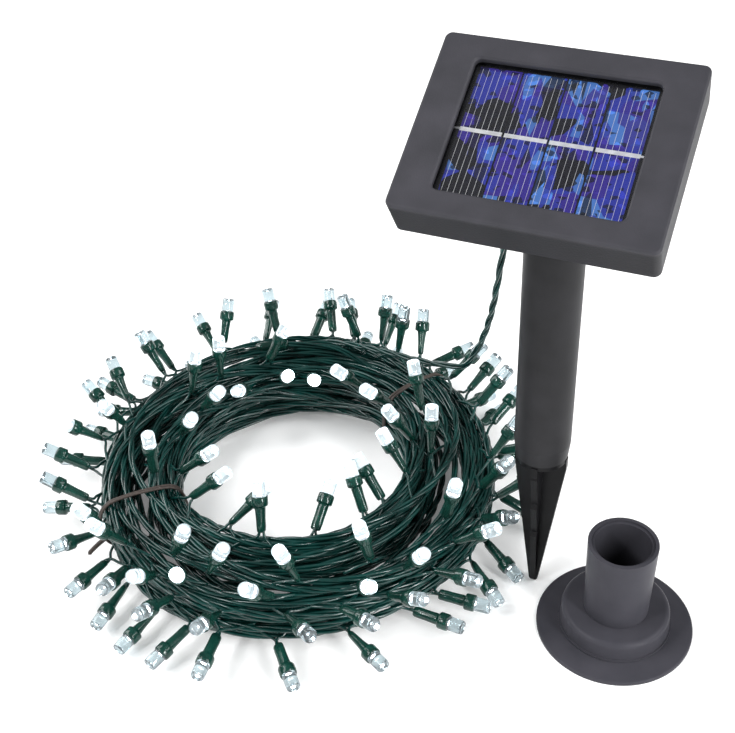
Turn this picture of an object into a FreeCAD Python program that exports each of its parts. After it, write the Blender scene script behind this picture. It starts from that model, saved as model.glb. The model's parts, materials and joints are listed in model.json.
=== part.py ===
import FreeCAD, Part
import Sketcher
import math
import os
import random
import re

# Solar string lights, millimetres. The origin is the tip of the ground stake, where it enters the soil.
# +Z is up the stake, X is the axis that the solar panel tilts about, and the panel faces -Y and up.

V = FreeCAD.Vector
doc = FreeCAD.newDocument("solar_string_lights")

SIZES = {
    "hinge_height": 203.0,
    "tilt_angle": 29.0,
    "panel_length": 88.0,
    "panel_width": 68.6,
    "panel_shift": -7.5,
    "face_height": 28.0,
    "side_height": 15.7,
    "side_draft": 0.8,
    "corner_rounding": 2.6,
    "rim_rounding": 1.0,
    "wall": 2.2,
    "deck": 2.4,
    "window_length": 62.0,
    "window_width": 50.6,
    "window_rounding": 2.2,
    "window_bevel": 0.7,
    "cover_thickness": 1.2,
    "cell_count": 4.0,
    "cell_length": 14.3,
    "cell_gap": 0.6,
    "cell_width": 48.8,
    "rear_bottom": 8.0,
    "rear_inset": 3.1,
    "screw_inset": 6.0,
    "floor_thickness": 2.0,
    "bolt_radius": 2.0,
    "running_gap": 0.05,
    "lug_half": 4.5,
    "ear_inner": 4.8,
    "ear_outer": 8.4,
    "ear_radius": 6.2,
    "tube_bottom": 74.0,
    "tube_top": 193.0,
    "tube_radius_low": 11.2,
    "tube_radius_high": 11.1,
    "tube_wall": 1.4,
    "end_taper": 7.0,
    "rib_thickness": 2.6,
    "stake_half_width": 10.6,
    "tip_half_width": 1.8,
    "barb_start": 14.0,
    "barb_depth": 1.5,
    "barb_top": 68.0,
    "plug_height": 44.0,
    "base_centre_x": 38.4,
    "base_centre_y": -12.9,
    "base_radius": 32.1,
    "collar_radius": 22.5,
    "collar_top": 12.0,
    "socket_radius": 12.9,
    "socket_rim_radius": 14.0,
    "socket_bore": 11.35,
    "socket_top": 48.0,
    "socket_floor": 6.0,
    "screw_spacing": 12.0,
    "coil_centre_x": -117.0,
    "coil_centre_y": 9.0,
    "coil_mean_radius": 71.5,
    "coil_half_width": 21.0,
    "coil_bottom": 1.6,
    "coil_top": 32.5,
    "coil_rounding": 12.5,
    "cord_radius": 1.55,
    "battery_radius": 5.25,
    "battery_length": 44.5,
    "battery_y": -26.0,
    "battery_z": 15.6,
    "holder_radius": 3.1,
    "holder_length": 16.0,
    "collar_length": 4.5,
    "lamp_collar_radius": 3.6,
    "lens_radius": 2.95,
    "lens_length": 6.4,
}

sheet = doc.addObject("Spreadsheet::Sheet", "Sizes")
for row, (alias, number) in enumerate(SIZES.items(), start=1):
    sheet.set(f"A{row}", alias)
    sheet.set(f"B{row}", str(number))
    sheet.setAlias(f"B{row}", alias)
doc.recompute()


def size(alias):
    """The value that the sheet holds for an alias."""
    return float(sheet.get(alias))


def bind(thing, **expressions):
    """Bind properties to expressions. Names of sizes in them are read from the sheet."""
    for name, text in expressions.items():
        named = re.sub(r"[a-z_]+", lambda word: f"Sizes.{word[0]}" if word[0] in SIZES else word[0], text)
        thing.setExpression(name, named)
    return thing


def place(thing, x="0", y="0", z="0"):
    """Put a feature's own origin at three expressions."""
    axes = {"Placement.Base.x": x, "Placement.Base.y": y, "Placement.Base.z": z}
    return bind(thing, **axes)


def box(name, length, width, height, x="0", y="0", z="0"):
    """A block centred on x and y, standing on z."""
    thing = doc.addObject("Part::Box", name)
    bind(thing, Length=length, Width=width, Height=height)
    return place(thing, f"{x} - ({length}) / 2", f"{y} - ({width}) / 2", z)


def cylinder(name, radius, height, x="0", y="0", z="0", along="z"):
    """A cylinder that starts at x, y, z and runs along one axis."""
    thing = doc.addObject("Part::Cylinder", name)
    if along == "x":
        thing.Placement.Rotation = FreeCAD.Rotation(V(0, 1, 0), 90)
    if along == "y":
        thing.Placement.Rotation = FreeCAD.Rotation(V(1, 0, 0), -90)
    bind(thing, Radius=radius, Height=height)
    return place(thing, x, y, z)


def cone(name, low, high, height, x="0", y="0", z="0"):
    """A cone frustum that stands on z."""
    thing = doc.addObject("Part::Cone", name)
    bind(thing, Radius1=low, Radius2=high, Height=height)
    return place(thing, x, y, z)


def joined(name, *pieces):
    """Several solids fused into one."""
    thing = doc.addObject("Part::MultiFuse", name)
    thing.Shapes = list(pieces)
    thing.Refine = True
    return thing


def cut(name, base, *tools):
    """A solid with one or more tools taken out of it."""
    thing = doc.addObject("Part::Cut", name)
    thing.Base = base
    thing.Tool = tools[0] if len(tools) == 1 else joined(name + "_tools", *tools)
    return thing


def group(name, *pieces):
    """Separate solids that share one node."""
    thing = doc.addObject("Part::Compound", name)
    thing.Links = list(pieces)
    return thing


def rounded(name, base, radius, chosen):
    """Round the edges of a feature that a test picks."""
    doc.recompute()
    thing = doc.addObject("Part::Fillet", name)
    thing.Base = base
    thing.Edges = [(n + 1, radius, radius) for n, e in enumerate(base.Shape.Edges) if chosen(e)]
    return thing


sub_parts = []


def head_placement():
    """The solar head's frame: its origin on the hinge axis, its own Z out of the panel's face."""
    return FreeCAD.Placement(V(0, 0, size("hinge_height")), FreeCAD.Rotation(V(1, 0, 0), size("tilt_angle")))


def keep(thing, label, placement=None):
    """Register a finished sub-part under its label, moved to its place."""
    thing.Label = label
    if placement is not None:
        thing.Placement = placement.multiply(thing.Placement)
    sub_parts.append(thing)
    return thing


def plane_of(body, role):
    """A body's own origin plane."""
    return next(f for f in body.Origin.OriginFeatures if f.Role == role)


def rectangle_sketch(body, name, length, width, y="0", z="0"):
    """A rectangle centred on its own origin, on a plane parallel to XY."""
    sketch = body.newObject("Sketcher::SketchObject", name)
    sketch.AttachmentSupport = [(plane_of(body, "XY_Plane"), "")]
    sketch.MapMode = "FlatFace"
    corners = [V(-5, -5, 0), V(5, -5, 0), V(5, 5, 0), V(-5, 5, 0)]
    for n in range(4):
        sketch.addGeometry(Part.LineSegment(corners[n], corners[(n + 1) % 4]))
    for n in range(4):
        sketch.addConstraint(Sketcher.Constraint("Coincident", n, 2, (n + 1) % 4, 1))
    for n in (0, 2):
        sketch.addConstraint(Sketcher.Constraint("Horizontal", n))
    for n in (1, 3):
        sketch.addConstraint(Sketcher.Constraint("Vertical", n))
    sketch.addConstraint(Sketcher.Constraint("Symmetric", 0, 1, 1, 2, -1, 1))
    across = sketch.addConstraint(Sketcher.Constraint("DistanceX", 0, 1, 0, 2, 10))
    along = sketch.addConstraint(Sketcher.Constraint("DistanceY", 1, 1, 1, 2, 10))
    sketch.renameConstraint(across, "across")
    sketch.renameConstraint(along, "along")
    sizes = {"Constraints.across": length, "Constraints.along": width}
    bind(sketch, **sizes, **{"AttachmentOffset.Base.y": y, "AttachmentOffset.Base.z": z})
    return sketch


def profile_sketch(body, name, points):
    """A closed outline of straight lines on the XZ plane."""
    sketch = body.newObject("Sketcher::SketchObject", name)
    sketch.AttachmentSupport = [(plane_of(body, "XZ_Plane"), "")]
    sketch.MapMode = "FlatFace"
    count = len(points)
    for n in range(count):
        start = V(*points[n], 0)
        end = V(*points[(n + 1) % count], 0)
        sketch.addGeometry(Part.LineSegment(start, end))
    for n in range(count):
        sketch.addConstraint(Sketcher.Constraint("Coincident", n, 2, (n + 1) % count, 1))
    return sketch


def is_upright(edge):
    """Whether an edge runs along Z."""
    return abs(edge.tangentAt(edge.FirstParameter).z) > 0.9


def bezel():
    """Housing shell with drafted sides, rounded corners, a window and four screw bosses."""
    body = doc.addObject("PartDesign::Body", "BezelShell")
    outline = rectangle_sketch(
        body, "BezelOutline", "panel_length - side_draft", "panel_width - side_draft",
        "panel_shift", "face_height - side_height")
    pad = body.newObject("PartDesign::Pad", "BezelPad")
    pad.Profile = outline
    bind(pad, Length="side_height", TaperAngle="atan(side_draft / 2 / side_height)")
    doc.recompute()
    upright = [f"Edge{n + 1}" for n, e in enumerate(pad.Shape.Edges) if is_upright(e)]
    corners = body.newObject("PartDesign::Fillet", "BezelCorners")
    corners.Base = (pad, upright)
    bind(corners, Radius="corner_rounding")
    doc.recompute()
    top = size("face_height")
    rim = [f"Edge{n + 1}" for n, e in enumerate(corners.Shape.Edges) if abs(e.BoundBox.ZMin - top) < 0.01]
    soft = body.newObject("PartDesign::Fillet", "BezelRim")
    soft.Base = (corners, rim)
    bind(soft, Radius="rim_rounding")
    cavity = rectangle_sketch(
        body, "BezelCavity", "panel_length - side_draft - 2 * wall", "panel_width - side_draft - 2 * wall",
        "panel_shift", "face_height - side_height")
    hollow = body.newObject("PartDesign::Pocket", "BezelHollow")
    hollow.Profile = cavity
    hollow.Reversed = True
    bind(hollow, Length="side_height - deck")
    opening = rectangle_sketch(
        body, "WindowOutline", "window_length", "window_width", "panel_shift", "face_height")
    window = body.newObject("PartDesign::Pocket", "WindowOpening")
    window.Profile = opening
    bind(window, Length="deck * 2")
    doc.recompute()
    inside = size("window_length") / 2 + 0.1
    near = [f"Edge{n + 1}" for n, e in enumerate(window.Shape.Edges)
            if is_upright(e) and abs(e.BoundBox.Center.x) < inside]
    window_corners = body.newObject("PartDesign::Fillet", "WindowCorners")
    window_corners.Base = (window, near)
    bind(window_corners, Radius="window_rounding")
    doc.recompute()
    lip = [f"Edge{n + 1}" for n, e in enumerate(window_corners.Shape.Edges)
           if abs(e.BoundBox.ZMin - top) < 0.01 and e.BoundBox.ZLength < 0.01 and
           abs(e.BoundBox.XMin) < inside and abs(e.BoundBox.XMax) < inside]
    bevel = body.newObject("PartDesign::Chamfer", "WindowBevel")
    bevel.Base = (window_corners, lip)
    bind(bevel, Size="window_bevel")
    doc.recompute()
    bosses = []
    for n, (sx, sy) in enumerate([(-1, -1), (1, -1), (1, 1), (-1, 1)]):
        x = f"{sx} * (panel_length / 2 - screw_inset)"
        y = f"panel_shift + {sy} * (panel_width / 2 - screw_inset)"
        post = cylinder(f"BezelBoss{n}", "3.6", "7.6", x, y, "face_height - 13.4")
        pilot = cylinder(f"BezelPilot{n}", "1.45", "9", x, y, "face_height - 14")
        bosses.append((post, pilot))
    shell = joined("BezelWithBosses", body, *[post for post, _ in bosses])
    return cut("Bezel", shell, *[pilot for _, pilot in bosses])


def window_stack():
    """Clear cover, four cells, their ribbons, the board behind them and the seal round them."""
    cover_bottom = "face_height - deck - cover_thickness"
    cover = box("CoverPlate", "window_length + 4", "window_width + 4", "cover_thickness",
                "0", "panel_shift", cover_bottom)
    keep(group("Cover", cover), "window_cover", head_placement())
    pitch = size("cell_length") + size("cell_gap")
    count = int(size("cell_count"))
    places = [(n - (count - 1) / 2) * pitch for n in range(count)]
    cells = []
    ribbons = []
    for n, x in enumerate(places):
        cells.append(box(f"Cell{n}", "cell_length", "cell_width", "0.3", str(x), "panel_shift", "23.9"))
        ribbons.append(box(f"Ribbon{n}", "cell_length - 0.2", "1.5", "0.1", str(x), "panel_shift", "24.2"))
    for side in (-1, 1):
        edge = side * (count * pitch / 2 + 0.6)
        ribbons.append(box(f"RibbonEnd{side + 1}", "2.2", "0.7", "0.1", str(edge), "panel_shift", "24.25"))
    keep(group("Cells", *cells), "solar_cells", head_placement())
    keep(group("Ribbons", *ribbons), "cell_ribbons", head_placement())
    board = box("CellBoardPlate", "window_length + 4", "window_width + 4", "1.2", "0", "panel_shift", "22.7")
    keep(group("CellBoard", board), "cell_board", head_placement())
    ring = box("GasketBlock", "window_length + 7.4", "window_width + 7.4", "2.8", "0", "panel_shift", "22.75")
    hole = box("GasketHole", "window_length + 4.2", "window_width + 4.2", "5", "0", "panel_shift", "22")
    keep(cut("Gasket", ring, hole), "window_gasket", head_placement())


def rear_cover():
    """Shallow tray that closes the housing: hinge lug, battery bay, screw posts and switch slot."""
    length = "(panel_length - side_draft - 2 * rear_inset + 2)"
    width = "(panel_width - side_draft - 2 * rear_inset + 2)"
    bezel_bottom = "(face_height - side_height)"
    inner_length = "(panel_length - side_draft - 2 * wall)"
    inner_width = "(panel_width - side_draft - 2 * wall)"
    tray = box("TrayBlock", length, width, f"{bezel_bottom} - rear_bottom", "0", "panel_shift", "rear_bottom")
    tray_round = rounded("TrayRound", tray, 1.0, lambda e: e.BoundBox.ZMax - size("rear_bottom") < 0.01)
    spigot = box("TraySpigot", f"{inner_length} - 0.4", f"{inner_width} - 0.4", "1.9",
                 "0", "panel_shift", bezel_bottom)
    shell = joined("TrayBody", tray_round, spigot)
    inside = box("TrayInside", f"{inner_length} - 4", f"{inner_width} - 4", "20",
                 "0", "panel_shift", "rear_bottom + floor_thickness")
    hollow = cut("TrayHollow", shell, inside)
    lug_stem = box("LugStem", "lug_half * 2", "ear_radius * 2", "rear_bottom + 0.5", "0", "0", "0")
    lug_round = cylinder("LugRound", "ear_radius", "lug_half * 2", "-lug_half", "0", "0", "x")
    bay = box("BayBlock", "51.6", "13.6", "14.2", "0", "battery_y", "rear_bottom")
    door_post = cylinder("DoorPost", "3", "6", "30", "battery_y", "9.9")
    board_posts = [cylinder(f"BoardPost{n}", "2", "6.2", x, y, "9.8") for n, (x, y) in
                   enumerate([("-5.5", "14"), ("27.5", "-6")])]
    screw_posts = []
    screw_holes = []
    for n, (sx, sy) in enumerate([(-1, -1), (1, -1), (1, 1), (-1, 1)]):
        x = f"{sx} * (panel_length / 2 - screw_inset)"
        y = f"panel_shift + {sy} * (panel_width / 2 - screw_inset)"
        post_height = f"{bezel_bottom} - rear_bottom"
        screw_posts.append(cylinder(f"ScrewPost{n}", "3.2", post_height, x, y, "rear_bottom"))
        screw_holes.append(cylinder(f"ScrewHole{n}", "1.7", "9", x, y, "rear_bottom - 1"))
        screw_holes.append(cylinder(f"ScrewSink{n}", "3", "3.4", x, y, "rear_bottom - 1"))
    solid = joined("TrayWithPosts", hollow, lug_stem, lug_round, bay, door_post, *board_posts, *screw_posts)
    tools = [
        cylinder("LugBore", "bolt_radius + running_gap", "20", "-10", "0", "0", "x"),
        box("BayRoom", "49.2", "11.2", "15", "0", "battery_y", "6.5"),
        box("DoorRecess", "62", "13", "2.9", "5", "battery_y", "7"),
        cylinder("DoorScrewHole", "1.15", "6", "30", "battery_y", "9"),
        box("SwitchSlot", "8", "3.4", "4", "24", "8", "7"),
        cylinder("GrommetHole", "3.1", "4", "-20", "0", "7"),
        *[cylinder(f"BoardPilot{n}", "0.85", "5", x, y, "11.5") for n, (x, y) in
          enumerate([("-5.5", "14"), ("27.5", "-6")])],
        *screw_holes,
    ]
    return cut("RearCover", solid, *tools)


def housing_screws():
    """Four screws that hold the rear cover to the bezel."""
    screws = []
    for n, (sx, sy) in enumerate([(-1, -1), (1, -1), (1, 1), (-1, 1)]):
        x = f"{sx} * (panel_length / 2 - screw_inset)"
        y = f"panel_shift + {sy} * (panel_width / 2 - screw_inset)"
        screws.append(pan_screw(f"HousingScrew{n}", "2.7", "1.6", "1.4", "10", x, y, "8.8"))
    return group("HousingScrews", *screws)


def pan_screw(name, head_radius, head_height, shank_radius, shank_length, x, y, z):
    """A screw pointing up, with a cross recess in the underside of its head."""
    head = cylinder(name + "Head", head_radius, head_height, x, y, z)
    shank = cylinder(name + "Shank", shank_radius, shank_length, x, y, f"{z} + {head_height}")
    slot_a = box(name + "SlotA", f"{head_radius} * 1.2", "0.5", "0.7", x, y, f"{z} - 0.1")
    slot_b = box(name + "SlotB", "0.5", f"{head_radius} * 1.2", "0.7", x, y, f"{z} - 0.1")
    return cut(name, joined(name + "Solid", head, shank), slot_a, slot_b)


def battery_parts():
    """Rechargeable cell, its two contacts, the door under it and the door's screw."""
    can = cylinder("BatteryCan", "battery_radius", "battery_length - 1", "-battery_length / 2",
                   "battery_y", "battery_z", "x")
    button = cylinder("BatteryButton", "1.9", "1.2", "battery_length / 2 - 1.1",
                      "battery_y", "battery_z", "x")
    keep(joined("Battery", can, button), "battery", head_placement())
    plates = []
    for n, side in enumerate((-1, 1)):
        plate = box(f"ContactPlate{n}", "0.4", "9", "9", f"{side} * (battery_length / 2 + 1.9)",
                    "battery_y", "battery_z - 4.5")
        start = "battery_length / 2 + 0.1" if side > 0 else "-battery_length / 2 - 1.8"
        nub = cylinder(f"ContactNub{n}", "1.6", "1.7", start, "battery_y", "battery_z", "x")
        plates.append(joined(f"Contact{n}", plate, nub))
    keep(group("Contacts", *plates), "battery_contacts", head_placement())
    door = box("DoorPlate", "61.4", "12.4", "1.6", "5", "battery_y", "rear_bottom")
    ridges = [box(f"DoorRidge{n}", "1", "8", "0.5", str(-18 + 2.2 * n), "battery_y", "rear_bottom - 0.4")
              for n in range(4)]
    hole = cylinder("DoorHole", "1.3", "3", "30", "battery_y", "7")
    sink = cylinder("DoorSink", "2.3", "1.7", "30", "battery_y", "7")
    keep(cut("Door", joined("DoorSolid", door, *ridges), hole, sink), "battery_door", head_placement())
    keep(pan_screw("DoorScrew", "2.1", "0.8", "1.05", "5", "30", "battery_y", "7.85"),
         "battery_door_screw", head_placement())


def circuit_parts():
    """Circuit board, the parts on it, its screws, the slide switch and the wires to the cells."""
    board = box("BoardPlate", "40", "27", "1.2", "11", "4.5", "16.05")
    holes = [cylinder(f"BoardHole{n}", "1.1", "3", x, y, "15") for n, (x, y) in
             enumerate([("-5.5", "14"), ("27.5", "-6")])]
    keep(cut("Board", board, *holes), "circuit_board", head_placement())
    top = "17.25"
    chip = box("Chip", "5", "4", "1.6", "4", "2", top)
    coil = cylinder("Choke", "2.6", "4", "14", "-2", top)
    can = cylinder("Capacitor", "2", "4.6", "20", "10", top)
    diode = box("Diode", "4.4", "2.4", "2", "4", "12", top)
    resistor = box("Resistor", "3.2", "1.6", "0.6", "13", "8", top)
    keep(group("Components", chip, coil, can, diode, resistor), "board_components", head_placement())
    screws = []
    for n, (x, y) in enumerate([("-5.5", "14"), ("27.5", "-6")]):
        head = cylinder(f"BoardScrewHead{n}", "1.8", "1.1", x, y, "17.3")
        shank = cylinder(f"BoardScrewShank{n}", "0.8", "5", x, y, "12.4")
        screws.append(joined(f"BoardScrew{n}", head, shank))
    keep(group("BoardScrews", *screws), "board_screws", head_placement())
    case = box("SwitchCase", "10", "5", "4.6", "24", "8", "11.4")
    slot = box("SwitchCaseSlot", "7.4", "2.4", "1.6", "24", "8", "11")
    keep(cut("Switch", case, slot), "switch_body", head_placement())
    knob = box("SwitchKnob", "3", "2.7", "3.4", "22.2", "8", "7.1")
    stem = box("SwitchStem", "2", "1.6", "2", "22.2", "8", "10.3")
    keep(joined("SwitchSlider", knob, stem), "power_switch", head_placement())
    wires = [cylinder(f"PanelLead{n}", "0.6", "5.4", str(-4 + 3 * n), "-7", "17.27") for n in range(2)]
    keep(group("PanelLeads", *wires), "panel_leads", head_placement())


def strain_relief():
    """Rubber grommet in the housing floor. Its mouth ends on the hinge axis, so tilting hardly moves it."""
    bell = cone("GrommetBell", "2.6", "4.2", "7.9", "-20", "0", "0.05")
    neck = cylinder("GrommetNeck", "3", "2.3", "-20", "0", "7.85")
    flange = cylinder("GrommetFlange", "4.2", "1.2", "-20", "0", "10.05")
    bore = cylinder("GrommetBore", "cord_radius + 0.2", "12", "-20", "0", "0")
    return cut("Grommet", joined("GrommetSolid", bell, neck, flange), bore)


def post_tube():
    """Slightly tapered tube whose lower end is drawn in a little."""
    span = "(tube_top - tube_bottom)"
    outer = cone("TubeOuter", "tube_radius_low", "tube_radius_high", f"{span} - end_taper",
                 "0", "0", "tube_bottom + end_taper")
    end = cone("TubeEnd", "tube_radius_low - 0.7", "tube_radius_low", "end_taper", "0", "0", "tube_bottom")
    inner = cone("TubeInner", "tube_radius_low - tube_wall", "tube_radius_high - tube_wall", f"{span} + 2",
                 "0", "0", "tube_bottom - 1")
    return cut("Tube", joined("TubeSolid", outer, end), inner)


def tilt_yoke():
    """Plug in the top of the tube, with two ears that take the pivot bolt."""
    plug = cylinder("YokePlug", "tube_radius_high - tube_wall - 0.15", "22", "0", "0", "tube_top - 22")
    flange = cylinder("YokeFlange", "tube_radius_high", "2.6", "0", "0", "tube_top")
    hollow = cylinder("YokeHollow", "7.4", "20", "0", "0", "tube_top - 22.5")
    ears = []
    for n, side in enumerate((-1, 1)):
        middle = f"{side} * (ear_inner + ear_outer) / 2"
        start = "ear_inner" if side > 0 else "-ear_outer"
        ears.append(box(f"Ear{n}", "ear_outer - ear_inner", "ear_radius * 2", "hinge_height - tube_top - 1",
                        middle, "0", "tube_top + 1"))
        ears.append(cylinder(f"EarRound{n}", "ear_radius", "ear_outer - ear_inner", start, "0",
                             "hinge_height", "x"))
    bore = cylinder("YokeBore", "bolt_radius + running_gap", "30", "-15", "0", "hinge_height", "x")
    return cut("Yoke", joined("YokeSolid", plug, flange, *ears), hollow, bore)


def pivot_parts():
    """Bolt across the ears, a washer and the knob that clamps the tilt."""
    head = cylinder("BoltHead", "3.6", "2.2", "-ear_outer - 2.25", "0", "hinge_height", "x")
    shank = cylinder("BoltShank", "bolt_radius", "ear_outer * 2 + 6", "-ear_outer - 0.1",
                     "0", "hinge_height", "x")
    keep(joined("Bolt", head, shank), "pivot_bolt")
    disc = cylinder("WasherDisc", "4", "0.7", "ear_outer + 0.05", "0", "hinge_height", "x")
    hole = cylinder("WasherHole", "bolt_radius + 0.1", "3", "ear_outer - 1", "0", "hinge_height", "x")
    keep(cut("Washer", disc, hole), "pivot_washer")
    grip = cylinder("KnobGrip", "5.6", "5.4", "ear_outer + 1.05", "0", "hinge_height", "x")
    wings = [box(f"KnobWing{n}", "5.4", width, height, "ear_outer + 3.75", "0",
                 f"hinge_height - ({height}) / 2")
             for n, (width, height) in enumerate([("13", "3"), ("3", "13")])]
    bore = cylinder("KnobBore", "bolt_radius + running_gap", "12", "ear_outer", "0", "hinge_height", "x")
    keep(cut("Knob", joined("KnobSolid", grip, *wings), bore), "tilt_knob")


def stake_blade(name, barbs):
    """One tapered blade across the stake's axis, with a number of barbs on each of its edges."""
    top = size("tube_bottom") - 1
    wide = size("stake_half_width")
    tip = size("tip_half_width")
    straight = size("barb_top")
    start = size("barb_start")
    depth = size("barb_depth")
    outline = [(tip - 0.6, 0.0), (tip, 0.9)]
    pitch = (straight - start) / max(barbs, 1)
    for n in range(barbs):
        high = start + (n + 1) * pitch
        at_high = tip + (wide - tip) * (high - depth) / straight
        outline += [(at_high, high - depth), (at_high - depth, high)]
    outline += [(wide, straight), (wide, top)]
    outline = [(-x, z) for x, z in reversed(outline)] + outline
    body = doc.addObject("PartDesign::Body", name)
    sketch = profile_sketch(body, name + "Outline", outline)
    pad = body.newObject("PartDesign::Pad", name + "Pad")
    pad.Profile = sketch
    pad.Midplane = True
    bind(pad, Length="rib_thickness")
    return body


def ground_stake():
    """Cross of a plain and a barbed blade, a top plate and a ribbed plug inside the tube."""
    plain = stake_blade("PlainBlade", 0)
    barbed = stake_blade("BarbedBlade", 3)
    barbed.Placement.Rotation = FreeCAD.Rotation(V(0, 0, 1), 90)
    plate = cylinder("StakePlate", "stake_half_width - 0.4", "2.2", "0", "0", "tube_bottom - 2.2")
    fit = "(tube_radius_low - tube_wall - 0.3)"
    thin = "rib_thickness - 0.4"
    foot = "tube_bottom - 1.5"
    fins = [box("PlugFinA", f"{fit} * 2", thin, "plug_height", "0", "0", foot),
            box("PlugFinB", thin, f"{fit} * 2", "plug_height", "0", "0", foot)]
    return joined("Stake", plain, barbed, plate, *fins)


def mounting_base():
    """Round foot, raised collar and a socket with a ledge inside, with two screw holes in its floor."""
    x = "base_centre_x"
    y = "base_centre_y"
    rim = cylinder("FootRim", "base_radius", "1.6", x, y, "0")
    slope = cone("FootSlope", "base_radius", "collar_radius", "1.2", x, y, "1.6")
    foot = joined("FootDisc", rim, slope)
    foot_round = rounded("FootRound", foot, 0.7, lambda e: abs(e.BoundBox.ZMin - 1.6) < 0.01
                         and e.BoundBox.ZLength < 0.01)
    collar = cone("FootCollar", "collar_radius", "collar_radius - 0.5", "collar_top - 2.4", x, y, "2.4")
    ridge = cylinder("CollarRidge", "collar_radius + 0.5", "1.9", x, y, "2")
    collar_round = rounded("CollarRound", collar, 2.2, lambda e: e.BoundBox.ZMin > 8)
    socket = cone("SocketOuter", "socket_radius", "socket_rim_radius", "socket_top - 2", x, y, "2")
    bore = cylinder("SocketBore", "socket_bore", "socket_top", x, y, "socket_floor")
    mouth = cylinder("SocketMouth", "socket_bore + 1.2", "2", x, y, "socket_top - 1")
    screws = [cylinder(f"FloorHole{n}", "2.1", "12", f"{x} + {side} * screw_spacing / 2", y, "-2")
              for n, side in enumerate((-1, 1))]
    hollow = cylinder("CollarHollow", "collar_radius - 3.4", "2.4", x, y, "-0.4")
    solid = joined("BaseSolid", foot_round, ridge, collar_round, socket)
    return cut("Base", solid, bore, mouth, hollow, *screws)


# Where each tie wire goes round the bundle, as an angle round the coil in degrees.
TIES = {"coil_tie_front": 224.0, "coil_tie_back": 61.0}

# Way of the lead from the grommet's mouth down to the top of the coil.
LEAD_ROUTE = [
    V(-20, 0, 203), V(-20.5, 13.6, 178.5), V(-27, 25, 141), V(-35, 39, 102),
    V(-46, 53, 71), V(-57, 65, 50), V(-63, 71.5, 32.5),
]


def route_tube(name, points, radius):
    """A round tube along straight runs that tangent arcs join. Returns its shape and prints its radii."""
    edges = []
    here = points[0]
    for before, corner, after in zip(points, points[1:], points[2:]):
        first = (corner - before).normalize()
        second = (after - corner).normalize()
        turn = first.getAngle(second)
        short = min((corner - before).Length, (after - corner).Length)
        arc_radius = 0.45 * short / math.tan(turn / 2)
        reach = 0.45 * short
        start = corner - first * reach
        end = corner + second * reach
        inward = (second - first).normalize()
        middle = corner + inward * (arc_radius / math.cos(turn / 2) - arc_radius)
        edges.append(Part.LineSegment(here, start).toShape())
        edges.append(Part.Arc(start, middle, end).toShape())
        print(f"{name}: bend radius {arc_radius:.1f} mm, turn {math.degrees(turn):.0f} degrees")
        here = end
    edges.append(Part.LineSegment(here, points[-1]).toShape())
    spine = Part.Wire(edges)
    direction = (points[1] - points[0]).normalize()
    section = Part.Wire([Part.Circle(points[0], direction, radius).toShape()])
    tube = spine.makePipeShell([section], True, True)
    expected = math.pi * radius ** 2 * spine.Length
    print(f"{name}: length {spine.Length:.1f} mm, volume over expected {tube.Volume / expected:.4f}")
    return tube


def lead_cable():
    """The stretch of cable between the solar head and the coil."""
    thing = doc.addObject("Part::Feature", "LeadCable")
    thing.Shape = route_tube("lead_cable", LEAD_ROUTE, size("cord_radius"))
    return thing


def light_coil():
    """Outer shape of the wound string: a thick ring with rounded edges that lies on the ground."""
    body = doc.addObject("PartDesign::Body", "CoilRing")
    sketch = body.newObject("Sketcher::SketchObject", "CoilSection")
    sketch.AttachmentSupport = [(plane_of(body, "XZ_Plane"), "")]
    sketch.MapMode = "FlatFace"
    inner = size("coil_mean_radius") - size("coil_half_width")
    outer = size("coil_mean_radius") + size("coil_half_width")
    low = size("coil_bottom")
    high = size("coil_top")
    bend = size("coil_rounding")
    lines = [((inner + bend, low), (outer - bend, low)), ((outer, low + bend), (outer, high - bend)),
             ((outer - bend, high), (inner + bend, high)), ((inner, high - bend), (inner, low + bend))]
    for start, end in lines:
        sketch.addGeometry(Part.LineSegment(V(*start, 0), V(*end, 0)))
    centres = [(outer - bend, low + bend), (outer - bend, high - bend), (inner + bend, high - bend),
               (inner + bend, low + bend)]
    for n, centre in enumerate(centres):
        circle = Part.Circle(V(*centre, 0), V(0, 0, 1), bend)
        start = math.radians(-90 + 90 * n)
        sketch.addGeometry(Part.ArcOfCircle(circle, start, start + math.pi / 2))
    for n in range(4):
        sketch.addConstraint(Sketcher.Constraint("Coincident", n, 2, n + 4, 1))
        sketch.addConstraint(Sketcher.Constraint("Coincident", n + 4, 2, (n + 1) % 4, 1))
    turn = body.newObject("PartDesign::Revolution", "CoilRevolution")
    turn.Profile = sketch
    turn.ReferenceAxis = (sketch, ["V_Axis"])
    turn.Angle = 360
    doc.recompute()
    body.Placement.Base = V(size("coil_centre_x"), size("coil_centre_y"), 0)
    return body


def on_ring(around, across, height):
    """A point near the coil: angle round the ring, distance from its centre line, height."""
    reach = size("coil_mean_radius") + across
    angle = math.radians(around)
    x = size("coil_centre_x") + reach * math.cos(angle)
    y = size("coil_centre_y") + reach * math.sin(angle)
    return V(x, y, height)


def coil_tie(name, around):
    """A tie wire wrapped once round the bundle, as a thin band."""
    low = size("coil_bottom") - 1.3
    high = size("coil_top") + 1.3
    half = size("coil_half_width") + 1.3
    outer = Part.makeBox(half * 2, 2.2, high - low, V(-half, -1.1, low))
    inner = Part.makeBox(half * 2 - 2, 4, high - low - 2, V(-half + 1, -2, low + 1))
    bend = size("coil_rounding")

    def soften(block, radius):
        along_y = [e for e in block.Edges if abs(e.tangentAt(e.FirstParameter).y) > 0.9]
        return block.makeFillet(radius, along_y)

    band = soften(outer, bend + 1.3).cut(soften(inner, bend + 0.3))
    thing = doc.addObject("Part::Feature", name)
    thing.Shape = band
    turn = FreeCAD.Rotation(V(0, 0, 1), around)
    thing.Placement = FreeCAD.Placement(on_ring(around, 0, 0), turn)
    return thing


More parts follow.
